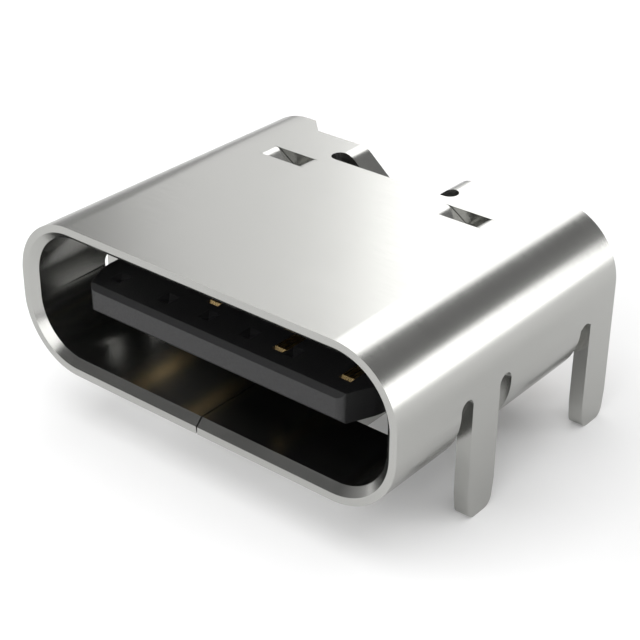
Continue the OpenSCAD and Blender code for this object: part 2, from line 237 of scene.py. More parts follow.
def mirrored(piece: bpy.types.Object) -> bpy.types.Object:
    """Copies a piece to the other side of the socket.

    Args:
        piece: The piece to copy.

    Returns:
        The copy, with a mesh of its own.
    """
    pick(piece)
    bpy.ops.object.duplicate()
    copy = bpy.context.object
    copy.scale.x = -1
    settle(copy)
    with editing(copy):
        bpy.ops.mesh.select_all(action="SELECT")
        bpy.ops.mesh.normals_make_consistent(inside=False)
    return copy


def soften(piece: bpy.types.Object, width: float, segments: int) -> None:
    """Breaks every sharp edge of a piece.

    Args:
        piece: The piece to soften.
        width: The bevel's width, in millimetres.
        segments: How many faces round each edge.
    """
    finish_modifier(
        piece,
        "BEVEL",
        width=width,
        segments=segments,
        limit_method="ANGLE",
        angle_limit=math.radians(30),
        use_clamp_overlap=True,
    )


def polish_normals(piece: bpy.types.Object, angle: float = 38.0) -> None:
    """Shades a piece smooth, with its flats flat and only its sharp edges sharp.

    Args:
        piece: The piece to shade.
        angle: Edges that turn by more than this stay sharp, in degrees.
    """
    pick(piece)
    bpy.ops.object.shade_smooth_by_angle(angle=math.radians(angle))
    finish_modifier(piece, "WEIGHTED_NORMAL", keep_sharp=True, weight=100)


# ---- Finishes ----


def linear(colour: str) -> tuple[float, float, float, float]:
    """Turns an sRGB hex colour into the linear values that a shader takes.

    Args:
        colour: Six hex digits after a hash.

    Returns:
        Linear red, green and blue, and an alpha of 1.
    """
    parts = [int(colour[i : i + 2], 16) / 255 for i in (1, 3, 5)]
    red, green, blue = (c / 12.92 if c <= 0.04045 else ((c + 0.055) / 1.055) ** 2.4 for c in parts)
    return red, green, blue, 1.0


def per_mm(size: float) -> float:
    """Gives the noise scale whose features are a size apart, on coordinates in metres.

    Args:
        size: Spacing of the features, in millimetres.
    """
    return 1 / (size * MM)


def add_node(
    tree: bpy.types.NodeTree,
    kind: str,
    inputs: dict[str | int, object] | None = None,
    **settings: object,
) -> bpy.types.Node:
    """Adds a node with its settings, and links or sets its inputs.

    Args:
        tree: The node tree.
        kind: The node's type, without its ShaderNode prefix.
        inputs: Input name or number, with a socket to link or a value to set.
        **settings: The node's own properties.

    Returns:
        The new node.
    """
    node = tree.nodes.new("ShaderNode" + kind)
    for name, value in settings.items():
        setattr(node, name, value)
    for key, value in (inputs or {}).items():
        if isinstance(value, bpy.types.NodeSocket):
            tree.links.new(value, node.inputs[key])
        else:
            node.inputs[key].default_value = value
    return node


def ramp(
    tree: bpy.types.NodeTree, source: bpy.types.NodeSocket, stops: dict[float, float]
) -> bpy.types.NodeSocket:
    """Adds a colour ramp between two or more stops.

    Args:
        tree: The node tree.
        source: What drives the ramp.
        stops: Position, with the grey level there.

    Returns:
        The ramp's colour.
    """
    node = add_node(tree, "ValToRGB", {0: source})
    elements = node.color_ramp.elements
    while len(elements) < len(stops):
        elements.new(0.5)
    for element, (place, value) in zip(elements, sorted(stops.items())):
        element.position = place
        element.color = (value, value, value, 1)
    return node.outputs["Color"]


def new_material(
    name: str, colour: str, **settings: object
) -> tuple[bpy.types.Material, bpy.types.NodeTree, bpy.types.Node]:
    """Starts a material with one principled shader.

    Args:
        name: The material's name.
        colour: Its base colour, in sRGB hex.
        **settings: The shader's other constants, with _ for a space.

    Returns:
        The material, its node tree and its shader.
    """
    material = bpy.data.materials.new(name)
    material.use_nodes = True
    tree = material.node_tree
    shader = tree.nodes["Principled BSDF"]
    shader.inputs["Base Color"].default_value = linear(colour)
    for socket, value in settings.items():
        shader.inputs[socket.replace("_", " ")].default_value = value
    return material, tree, shader


def vary_roughness(
    tree: bpy.types.NodeTree, shader: bpy.types.Node, pattern: bpy.types.NodeSocket, within: Span, rough: Span
) -> None:
    """Lets a pattern drive a finish's roughness.

    Args:
        tree: The node tree.
        shader: The finish's shader.
        pattern: The noise.
        within: The stretch of the noise that is used.
        rough: Roughness at the two ends of the stretch.
    """
    spread = {"Value": pattern, "From Min": within[0], "From Max": within[1]}
    spread |= {"To Min": rough[0], "To Max": rough[1]}
    tree.links.new(add_node(tree, "MapRange", spread).outputs[0], shader.inputs["Roughness"])


@dataclass(frozen=True)
class NickelStrip:
    """Nickel-plated stainless strip, cold rolled and then pressed: grey, satin, with a faint grain."""

    colour: str = "#ADADAA"
    roughness: Span = (0.20, 0.27)
    grain: float = 0.035
    cloud: float = 1.8
    cloud_share: float = 0.35
    depth: float = 0.0000012

    def make(self) -> bpy.types.Material:
        """Builds the finish.

        Returns:
            The material.
        """
        # Nickel loses a little of its shine where it is seen edge on
        tint = (0.8, 0.8, 0.8, 1)
        material, tree, shader = new_material(
            "nickel_plated_strip", self.colour, Metallic=1.0, Specular_Tint=tint
        )
        place = add_node(tree, "TexCoord").outputs["Object"]
        # The rolls leave lines round the section, finer than the eye would part
        stretched = add_node(tree, "Mapping", {"Vector": place, "Scale": (0.06, 1, 0.06)}).outputs[0]
        grain = {"Vector": stretched, "Scale": per_mm(self.grain), "Detail": 3.0, "Roughness": 0.6}
        lines = add_node(tree, "TexNoise", grain).outputs[0]
        # The plating bath leaves broad, soft clouds
        bath = {"Vector": place, "Scale": per_mm(self.cloud), "Detail": 2.0}
        clouds = add_node(tree, "TexNoise", bath).outputs[0]
        mixed = add_node(tree, "Mix", {0: self.cloud_share, 2: lines, 3: clouds}).outputs[0]
        vary_roughness(tree, shader, mixed, (0.3, 0.7), self.roughness)
        bump = add_node(tree, "Bump", {"Strength": 0.35, "Distance": self.depth, "Height": lines}).outputs[0]
        tree.links.new(bump, shader.inputs["Normal"])
        return material


@dataclass(frozen=True)
class BlackNylon:
    """Black glass-filled nylon, moulded against a finely eroded tool: dark, close to matt."""

    name: str = "black_glass_nylon"
    colour: str = "#161617"
    roughness: Span = (0.38, 0.52)
    grit: float = 0.03
    pit: float = 0.000004

    def make(self) -> bpy.types.Material:
        """Builds the finish.

        Returns:
            The material.
        """
        material, tree, shader = new_material(self.name, self.colour, IOR=1.53)
        place = add_node(tree, "TexCoord").outputs["Object"]
        # Spark erosion leaves pits a few hundredths of a millimetre across
        eroded = {"Vector": place, "Scale": per_mm(self.grit), "Detail": 2.0, "Roughness": 0.5}
        pits = add_node(tree, "TexNoise", eroded).outputs[0]
        vary_roughness(tree, shader, pits, (0.35, 0.65), self.roughness)
        bump = add_node(tree, "Bump", {"Strength": 0.5, "Distance": self.pit, "Height": pits}).outputs[0]
        tree.links.new(bump, shader.inputs["Normal"])
        return material


@dataclass(frozen=True)
class GoldPlate:
    """Gold flashed over nickel on a copper alloy strip: pale warm gold, satin."""

    colour: str = "#D6B984"
    roughness: Span = (0.26, 0.30)
    grain: float = 0.03

    def make(self) -> bpy.types.Material:
        """Builds the finish.

        Returns:
            The material.
        """
        material, tree, shader = new_material("gold_plated_contact", self.colour, Metallic=1.0)
        place = add_node(tree, "TexCoord").outputs["Object"]
        # The blade is rolled along its length before it is plated
        stretched = add_node(tree, "Mapping", {"Vector": place, "Scale": (1, 0.08, 1)}).outputs[0]
        rolled = {"Vector": stretched, "Scale": per_mm(self.grain), "Detail": 2.0}
        lines = add_node(tree, "TexNoise", rolled).outputs[0]
        vary_roughness(tree, shader, lines, (0.3, 0.7), self.roughness)
        return material


@dataclass(frozen=True)
class PlainStrip:
    """Plain stainless strip, bright annealed: the latch plate between the two rows."""

    colour: str = "#A9A8A4"
    roughness: Span = (0.25, 0.38)
    speck: float = 0.05

    def make(self) -> bpy.types.Material:
        """Builds the finish.

        Returns:
            The material.
        """
        material, tree, shader = new_material("plain_stainless_strip", self.colour, Metallic=1.0)
        place = add_node(tree, "TexCoord").outputs["Object"]
        annealed = {"Vector": place, "Scale": per_mm(self.speck), "Detail": 2.0}
        specks = add_node(tree, "TexNoise", annealed).outputs[0]
        vary_roughness(tree, shader, specks, (0.3, 0.7), self.roughness)
        return material


# ---- Pieces ----


@dataclass
class Piece:
    """What every finished piece shares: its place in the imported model's frame, its body and its finish."""

    depth_to_pegs: float = 5.75

    def place(
        self, piece: bpy.types.Object, material: bpy.types.Material, slot: str, nodes: tuple[str, ...]
    ) -> bpy.types.Object:
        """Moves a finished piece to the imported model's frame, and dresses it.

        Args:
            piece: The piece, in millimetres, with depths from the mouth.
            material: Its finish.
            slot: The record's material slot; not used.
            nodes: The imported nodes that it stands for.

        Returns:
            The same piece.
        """
        piece.location = (0, -self.depth_to_pegs * MM, 0)
        piece.scale = (MM, MM, MM)
        settle(piece)
        piece.data.materials.clear()
        piece.data.materials.append(material)
        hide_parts(*nodes)
        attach(piece, "root")
        log.info("%s: %d faces", piece.name, len(piece.data.polygons))
        return piece


@dataclass
class FoldedShell(Piece):
    """The shell: a flat blank that is pierced, has its edges broken, and is then pressed and folded."""

    width: float = 8.94
    height: float = 3.16
    depth: float = 6.88
    wall: float = 0.30
    corner_r: float = 1.35
    standoff: float = 0.10
    mouth_flare: float = 0.15
    seam_gap: float = 0.03
    edge_round: float = 0.022
    stake_w: float = 0.82
    stake_reach: float = 1.00
    stake_taper: float = 0.07
    stake_taper_len: float = 0.55
    stake_tip_r: float = 0.19
    front_stake_y: float = 2.60
    relief_w: float = 0.35
    front_relief_h: float = 1.56
    rear_relief_h: float = 1.36
    window_span: float = 2.205
    floor_depth: float = 5.30
    floor_half: float = 3.33
    lance_x: float = 2.12
    lance_y: float = 5.08
    lance_len: float = 1.12
    lance_w: float = 0.46
    lance_land: float = 0.02
    lance_drop: float = 0.28
    lance_rounds: Span = (0.17, 0.07)
    slit: float = 0.012
    cutout_y: float = 5.57
    cutout_slot: float = 0.38
    cutout_w: float = 3.04
    setback: float = 0.40
    setback_w: float = 5.00
    ear_span: float = 2.80
    ear_angle: float = 40.0
    ear_bend_r: float = 0.15
    ear_len: float = 0.80
    dovetail_y: float = 2.60
    dovetail_len: float = 1.10
    dovetail_w: float = 0.60
    dovetail_flare: float = 0.12
    tip_steps: int = 10
    slot_steps: int = 12
    bend_steps: int = 28
    ear_steps: int = 10
    lance_steps: int = 28

    def __post_init__(self) -> None:
        """Works out the stations of the flat blank, from the middle of the roof outwards."""
        self.flat = self.width / 2 - self.corner_r
        self.arc = self.corner_r * math.pi / 2
        self.side = self.height - 2 * self.corner_r
        self.side_top = self.flat + self.arc
        self.side_foot = self.side_top + self.side
        self.floor_edge = self.side_foot + self.arc
        self.middle = self.floor_edge + self.flat
        self.reach = self.middle - self.seam_gap / 2
        self.rear_stake_y = self.depth - self.stake_w / 2
        self.stake_len = self.corner_r + self.standoff + self.stake_reach
        self.roof_depth = self.depth - self.setback
        self.ear_y = self.cutout_y + self.cutout_slot
        self.ear_arc = math.radians(self.ear_angle) * (self.ear_bend_r + self.wall)
        self.dip_len = self.lance_len - 2 * self.lance_land

    # -- cutting the blank --

    def prism(self, name: str, x: Span, y: Span) -> bpy.types.Object:
        """Adds a cutter that stands right through the blank.

        Args:
            name: The cutter's name.
            x: Where it starts and ends across the blank.
            y: Where it starts and ends along the depth.

        Returns:
            The cutter.
        """
        return block(name, (x[0], y[0], -PAST), (x[1], y[1], PAST))

    def round_slot(self, x: Span, y: Span, ends: Places) -> bpy.types.Object:
        """Adds a slot's cutter, with a full round at some of its corners.

        Args:
            x: Where it starts and ends across the blank.
            y: Where it starts and ends along the depth.
            ends: The corners that are rounded.

        Returns:
            The cutter.
        """
        cutter = self.prism("slot", x, y)
        # A hair less than half the slot's width, so that the two rounds of an end stay apart
        radius = 0.999 * min(x[1] - x[0], y[1] - y[0]) / 2
        ease_edges(cutter, upright_at(ends), radius, self.slot_steps)
        return cutter

    def stake_blank(self, y: float) -> bpy.types.Object:
        """Adds the outline of a stake, flat in the blank, to be left in its window.

        Args:
            y: The depth of its middle.

        Returns:
            The stake's solid, taller than the blank is thick.
        """
        half = self.stake_w / 2
        tip = self.side_foot + self.stake_len
        stake = block("stake", (self.flat, y - half, -2 * PAST), (tip, y + half, 2 * PAST))
        for way in (-1, 1):
            slope = (self.stake_taper, way * self.stake_taper_len, 0)
            slice_off(stake, (tip - self.stake_taper_len, y + way * half, 0), slope)
        corners = [(tip, y + way * (half - self.stake_taper)) for way in (-1, 1)]
        ease_edges(stake, upright_at(corners, 2e-3), self.stake_tip_r, self.tip_steps)
        return stake

    def pierce_side(self, blank: bpy.types.Object, way: int, y: float, height: float) -> None:
        """Pierces one stake's window and its two relief slots.

        Args:
            blank: The flat blank.
            way: 1 for the right side, -1 for the left.
            y: The depth of the stake's middle.
            height: Height of the slots above the shell's underside.
        """
        half = self.stake_w / 2
        top = self.side_foot + self.corner_r - height
        end = self.middle - self.window_span
        for low in (y - half - self.relief_w, y + half):
            ys = (low, low + self.relief_w)
            slot = self.round_slot((top, end - OVER), ys, [(top, ys[0]), (top, ys[1])])
            self.cut_side(blank, slot, way)
        ys = (y - half - self.relief_w, y + half + self.relief_w)
        window = self.prism("window", (self.side_foot + OVER / 2, end), ys)
        cut(window, self.stake_blank(y))
        self.cut_side(blank, window, way)

    def cut_side(self, blank: bpy.types.Object, cutter: bpy.types.Object, way: int) -> None:
        """Cuts a cutter made for the right side out of either side of the blank.

        Args:
            blank: The flat blank.
            cutter: The cutter, which is used up.
            way: 1 for the right side, -1 for the left.
        """
        if way < 0:
            other = mirrored(cutter)
            bpy.data.objects.remove(cutter)
            cutter = other
        cut(blank, cutter)

    def dovetail(self, x: float, margin: float) -> bpy.types.Object:
        """Adds the dovetail's outline, grown all round by a margin.

        Args:
            x: Where its neck stands across the blank.
            margin: How much larger it is.

        Returns:
            The solid.
        """
        wide = self.dovetail_len / 2 + margin
        run = self.dovetail_w + 2 * margin
        ys = (self.dovetail_y - wide, self.dovetail_y + wide)
        tail = self.prism("dovetail", (x - margin, x + self.dovetail_w + margin), ys)
        for way in (-1, 1):
            neck = (x - margin, self.dovetail_y + way * (wide - self.dovetail_flare), 0)
            slice_off(tail, neck, (-self.dovetail_flare, way * run, 0))
        return tail

    def pierce_floor(self, blank: bpy.types.Object) -> None:
        """Cuts the seam's dovetail and stops the floor in front of the housing's foot.

        Args:
            blank: The flat blank.
        """
        edge = self.reach
        past = self.prism("past", (edge, edge + 2 * PAST), (-PAST, self.depth + PAST))
        cut(past, self.dovetail(edge, 0))
        cut(blank, past)
        socket = self.dovetail(edge, self.seam_gap)
        # The socket is the same outline, moved a whole blank's width to the other end
        socket.location.x = -2 * edge
        settle(socket)
        cut(blank, socket)
        start = self.middle - self.floor_half
        window_end = self.middle - self.window_span
        window_y = self.rear_stake_y - self.stake_w / 2 - self.relief_w
        for way in (-1, 1):
            ys = (self.floor_depth, window_y + OVER / 10)
            self.cut_side(blank, self.prism("floor_end", (start, edge + 2 * PAST), ys), way)
            xs = (window_end - OVER / 2, edge + 2 * PAST)
            rest = self.prism("floor_rest", xs, (window_y, self.depth + PAST))
            self.cut_side(blank, rest, way)

    def pierce_roof(self, blank: bpy.types.Object) -> None:
        """Cuts the rear edge, the cut-out and the bay between the ears.

        Args:
            blank: The flat blank.
        """
        half, x = self.cutout_w / 2, self.setback_w / 2
        ys = (self.cutout_y, self.ear_y)
        corners = [(way * half, y) for way in (-1, 1) for y in ys]
        cut(blank, self.round_slot((-half, half), ys, corners))
        tip = self.ear_span / 2 - self.ear_arc - self.ear_len
        cut(blank, self.prism("bay", (-tip, tip), (self.ear_y - OVER, self.depth + PAST)))
        step = self.prism("setback", (-x - 2 * PAST, x + 2 * PAST), (self.roof_depth, self.depth + PAST))
        for way in (-1, 1):
            slice_off(step, (way * x, self.roof_depth, 0), (way, -1, 0))
        cut(blank, step)

    def shear_lances(self, blank: bpy.types.Object) -> None:
        """Shears the two edges of each lance.

        Args:
            blank: The flat blank.
        """
        half, long = self.lance_w / 2, self.lance_len / 2
        for way in (-1, 1):
            for y in (self.lance_y - half, self.lance_y + half - self.slit):
                x = way * self.lance_x
                cut(blank, self.prism("shear", (x - long, x + long), (y, y + self.slit)))

    # -- pressing and folding --

    def bend_lines(self) -> list[float]:
        """Lists where the blank is scored, on one side of its middle.

        Returns:
            Distances from the middle of the roof.
        """
        lines = []
        for start in (self.flat, self.side_foot):
            lines += [start + self.arc * i / self.bend_steps for i in range(self.bend_steps + 1)]
        lines += [self.ear_span / 2 - self.ear_arc * i / self.ear_steps for i in range(self.ear_steps + 1)]
        steps = range(self.lance_steps + 1)
        lines += [self.lance_x + self.dip_len * (i / self.lance_steps - 0.5) for i in steps]
        return lines

    def fold_point(self, u: float, y: float, t: float) -> Point:
        """Says where a point of the flat blank lies in the folded shell.

        Args:
            u: Distance across the blank from the middle of the roof.
            y: Depth from the mouth.
            t: Depth below the outer face.

        Returns:
            The folded point.
        """
        way = math.copysign(1, u)
        s = abs(u)
        top, foot = self.standoff + self.height, self.standoff
        inner = self.corner_r - t
        if s < self.flat:
            x, z = self.press_roof(s, y, t, top)
        elif s < self.side_top:
            turn = (s - self.flat) / self.corner_r
            x, z = self.flat + inner * math.sin(turn), top - self.corner_r + inner * math.cos(turn)
        elif s <= self.side_foot or self.in_stake(s, y):
            x, z = self.width / 2 - t, top - self.corner_r - (s - self.side_top)
        elif s < self.floor_edge:
            turn = (s - self.side_foot) / self.corner_r
            x, z = self.flat + inner * math.cos(turn), foot + self.corner_r - inner * math.sin(turn)
        else:
            x, z = self.flat - (s - self.floor_edge), foot + t
        return way * x, y, z

    def in_stake(self, s: float, y: float) -> bool:
        """Says whether a point of the blank belongs to a stake, which stays straight."""
        if s > self.side_foot + self.stake_len + 1e-4:
            return False
        half = self.stake_w / 2 + 1e-4
        return any(abs(y - middle) < half for middle in (self.front_stake_y, self.rear_stake_y))

    def press_roof(self, s: float, y: float, t: float, top: float) -> tuple[float, float]:
        """Presses the lances and bends the ears.

        Args:
            s: Distance from the middle of the roof.
            y: Depth from the mouth.
            t: Depth below the outer face.
            top: Height of the roof.

        Returns:
            The point's place across the shell, and its height.
        """
        line = self.ear_span / 2
        if s < line and y > self.cutout_y + self.cutout_slot / 2:
            outer = self.ear_bend_r + self.wall
            full = math.radians(self.ear_angle)
            turn = min((line - s) / outer, full)
            rest = max(line - s - full * outer, 0)
            x = line - (outer - t) * math.sin(turn) - rest * math.cos(turn)
            return x, top - outer + (outer - t) * math.cos(turn) - rest * math.sin(turn)
        along = (s - self.lance_x) / self.dip_len + 0.5
        # The slits' own inner edges go down with the lance, and their outer edges stay with the roof
        if 0 < along < 1 and abs(y - self.lance_y) < self.lance_w / 2 - self.slit * 0.9:
            run = self.dip_len * min(along, 1 - along)
            return s, top - t - self.lance_depth(run, self.dip_len / 2)
        return s, top - t

    def lance_depth(self, run: float, half: float) -> float:
        """Gives the depth of a lance's V, with a round where it leaves the roof and at its foot.

        Args:
            run: Distance from the lance's nearer end.
            half: Half the dip's length.

        Returns:
            Depth below the roof.
        """
        start, foot = self.lance_rounds
        slope = self.lance_drop / (half - start / 2 - foot / 2)
        if run < start:
            return slope * run * run / (2 * start)
        if run > half - foot:
            return self.lance_drop - slope * (half - run) ** 2 / (2 * foot)
        return slope * (run - start / 2)

    def fold(self, blank: bpy.types.Object) -> None:
        """Scores the blank at its bend lines and folds it.

        Args:
            blank: The flat blank, with its outer face up at zero.
        """
        lines = self.bend_lines()
        score(blank, 0, sorted({round(way * line, 5) for line in lines for way in (-1, 1)}))
        for vertex in blank.data.vertices:
            vertex.co = self.fold_point(vertex.co.x, vertex.co.y, -vertex.co.z)

    def build(self, material: bpy.types.Material) -> bpy.types.Object:
        """Makes the shell.

        Args:
            material: Its finish.

        Returns:
            The finished shell.
        """
        end = self.reach
        right = end + self.dovetail_w + 2 * OVER
        blank = block("shell_strip", (-end, 0, -self.wall), (right, self.depth, 0))
        ease_edges(
            blank,
            lambda e: all(abs(v.co.y) < 1e-4 and abs(v.co.z + self.wall) < 1e-4 for v in e.verts),
            self.mouth_flare,
        )
        self.pierce_floor(blank)
        self.pierce_roof(blank)
        for way in (-1, 1):
            self.pierce_side(blank, way, self.front_stake_y, self.front_relief_h)
            self.pierce_side(blank, way, self.rear_stake_y, self.rear_relief_h)
        soften(blank, self.edge_round, 3)
        self.shear_lances(blank)
        self.fold(blank)
        polish_normals(blank)
        return self.place(blank, material, "shell_steel", ("metal_shell",))


class Row(Enum):
    """Which row of the tongue a contact lies in, by the row's letter."""

    UPPER = "a"
    LOWER = "b"

    @property
    def way(self) -> int:
        """Gives 1, or -1 for the lower row, which is the upper one turned half round."""
        return 1 if self is Row.UPPER else -1


@dataclass(frozen=True)
class Position:
    """A filled contact position: its number, its place across, its tail's, and where its nose starts."""

    number: int
    x: float
    tail_x: float
    start: float


POSITIONS = (Position(5, -0.75, -0.50, 1.29), Position(9, 1.25, 1.52, 0.80), Position(12, 2.75, 2.75, 0.80))


@dataclass
class Moulding(Piece):
    """What the housing's mouldings share: the tongue's lines, and the section that fits the shell."""

    axis_z: float = 1.68
    thick: float = 0.60
    tongue_y: float = 0.36
    flange_y: float = 4.81
    carrier_y: float = 5.39
    web_top: float = 0.15
    core_w: float = 5.90
    core_y: float = 0.75
    plate_t: float = 0.10
    contact_w: float = 0.27
    contact_t: float = 0.15
    section: Span = (4.14, 1.25)
    section_r: float = 1.02
    section_steps: int = 12
    seat_half: float = 2.90
    seat_z: float = 0.40

    def slab(self, name: str, half: float, y: Span, z: Span) -> bpy.types.Object:
        """Adds a block centred across the socket.

        Args:
            name: The block's name.
            half: Half its width.
            y: Where it starts and ends along the depth.
            z: Its lower and upper face.

        Returns:
            The block.
        """
        return block(name, (-half, y[0], z[0]), (half, y[1], z[1]))

    def bore_fill(self, name: str, y: Span) -> bpy.types.Object:
        """Adds a slab with the section that fits the shell, seated on the shell's floor.

        Args:
            name: The slab's name.
            y: Where it starts and ends along the depth.

        Returns:
            The slab.
        """
        half, rise = self.section
        fill = self.slab(name, half, y, (self.axis_z - rise, self.axis_z + rise))
        ease_edges(
            fill,
            lambda e: abs(e.verts[0].co.y - e.verts[1].co.y) > 1e-3,
            self.section_r,
            self.section_steps,
        )
        weld(fill, self.slab("seat", self.seat_half, y, (self.seat_z, self.axis_z)))
        return fill


@dataclass
class TongueMould(Moulding):
    """The tongue and the wall behind it: a blade with a bevelled nose, contact channels and pin marks."""

    width: float = 6.69
    nose_cut: Span = (0.33, 0.73)
    nose_trim: float = 0.116
    cheek_trim: float = 0.15
    nose_steps: int = 8
    cheek_steps: int = 4
    nose_bevel: float = 0.10
    root_len: float = 0.70
    root_t: float = 1.20
    lug_y: Span = (1.86, 3.06)
    notch: Span = (0.24, 0.80)
    notch_z: Span = (0.0, 3.0)
    mark: Point = (0.28, 0.34, 0.05)
    mark_y: float = 0.93
    mark_xs: tuple[float, ...] = (-2.75, -1.5, -0.5, 0.5, 1.5)
    channel_end: float = 6.0
    pocket: Point = (2.12, 0.62, 2.62)
    pocket_top: float = 3.5
    edge_round: float = 0.012
    # Less than a pin mark's sides turn from the face, so that the marks stay crisp
    crisp_angle: float = 12.0

    def blade(self) -> bpy.types.Object:
        """Shapes the tongue's blade: cut and rounded corners, then the bevelled nose.

        Returns:
            The blade.
        """
        half, rise = self.width / 2, self.thick / 2
        low, high = self.axis_z - rise, self.axis_z + rise
        blade = self.slab("tongue_mould_body", half, (self.tongue_y, self.carrier_y), (low, high))
        across, along = self.nose_cut
        for way in (-1, 1):
            slice_off(blade, (way * (half - across), self.tongue_y, 0), (way * along, -across, 0))
        front = [(way * (half - across), self.tongue_y) for way in (-1, 1)]
        ease_edges(blade, upright_at(front), self.nose_trim, self.nose_steps)
        cheeks = [(way * half, self.tongue_y + along) for way in (-1, 1)]
        ease_edges(blade, upright_at(cheeks), self.cheek_trim, self.cheek_steps)
        for way, z in ((1, high), (-1, low)):
            slice_off(blade, (0, self.tongue_y + self.nose_bevel, z), (0, -1, way))
        return blade

    def pin_mark(self, x: float, way: int) -> bpy.types.Object:
        """Adds the four-sided point that a core pin leaves.

        Args:
            x: Its place across the tongue.
            way: 1 for the upper face, -1 for the lower.

        Returns:
            The cutter.
        """
        deselect()
        wide, long, deep = self.mark
        turn = (0, 0, math.pi / 4)
        bpy.ops.mesh.primitive_cone_add(vertices=4, radius1=0, radius2=1, depth=2, rotation=turn)
        pin = bpy.context.object
        settle(pin)
        # The cone's four sides stand at its middle, so twice the depth puts its mouth at the face
        pin.scale = (wide * math.sqrt(2), long * math.sqrt(2), deep)
        pin.location = (x, self.mark_y, self.axis_z + self.thick / 2)
        if way < 0:
            pin.rotation_euler.y = math.pi
            pin.location.z = self.axis_z - self.thick / 2
        settle(pin)
        return pin

    def face_cuts(self, way: int) -> None:
        """Cuts one face's channels and pin marks; the lower face is the upper one turned half round.

        Args:
            way: 1 for the upper face, -1 for the lower.
        """
        half = self.contact_w / 2
        face = self.axis_z + way * self.thick / 2
        floor = self.axis_z + way * self.web_top
        z = sorted((floor, face + way * OVER))
        for position in POSITIONS:
            x = way * position.x
            low, high = (x - half, position.start, z[0]), (x + half, self.channel_end, z[1])
            cut(self.body, block("channel", low, high))
        for x in self.mark_xs:
            cut(self.body, self.pin_mark(way * x, way))

    def build(self, material: bpy.types.Material) -> bpy.types.Object:
        """Makes the tongue and its wall.

        Args:
            material: Its finish.

        Returns:
            The finished moulding.
        """
        self.body = self.blade()
        half, root = self.width / 2, self.root_t / 2
        behind = (self.flange_y - self.root_len, self.carrier_y)
        weld(self.body, self.slab("root", half, behind, (self.axis_z - root, self.axis_z + root)))
        weld(self.body, self.bore_fill("flange", (self.flange_y, self.carrier_y)))
        past = self.carrier_y + OVER
        core = (self.axis_z - self.web_top, self.axis_z + self.web_top)
        cut(self.body, self.slab("core", self.core_w / 2, (self.core_y, past), core))
        gap = self.plate_t / 2
        plate = (self.axis_z - gap, self.axis_z + gap)
        cut(self.body, self.slab("lug_slot", half + PAST, self.lug_y, plate))
        deep, long = self.notch
        x, wide, low = self.pocket
        start, front = self.lug_y[1], self.flange_y - OVER
        for way in (-1, 1):
            left, right = sorted((way * (half - deep), way * (half + PAST)))
            under, over = self.notch_z
            cut(self.body, block("notch", (left, start, under), (right, start + long, over)))
            left, right = way * x - wide, way * x + wide
            cut(self.body, block("pocket", (left, front, low), (right, past, self.pocket_top)))
        for way in (1, -1):
            self.face_cuts(way)
        soften(self.body, self.edge_round, 2)
        polish_normals(self.body, self.crisp_angle)
        return self.place(self.body, material, "black_moulding", ("tongue_mould",))


@dataclass
class Carrier(Moulding):
    """A carrier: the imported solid, with its edges broken as a moulding's are."""

    node: str = ""
    edge_round: float = 0.02

    def build(self, material: bpy.types.Material) -> bpy.types.Object:
        """Makes the carrier.

        Args:
            material: Its finish.

        Returns:
            The finished moulding.
        """
        pick(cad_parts[self.node])
        bpy.ops.object.duplicate()
        body = bpy.context.object
        body.name = self.node + "_body"
        body.scale = (1 / MM, 1 / MM, 1 / MM)
        body.location = (0, self.depth_to_pegs, 0)
        settle(body)
        with editing(body):
            bpy.ops.mesh.select_all(action="SELECT")
            bpy.ops.mesh.remove_doubles(threshold=1e-4)
            bpy.ops.mesh.dissolve_limited(angle_limit=math.radians(1))
        soften(body, self.edge_round, 2)
        polish_normals(body)
        return self.place(body, material, "carrier_moulding", (self.node,))


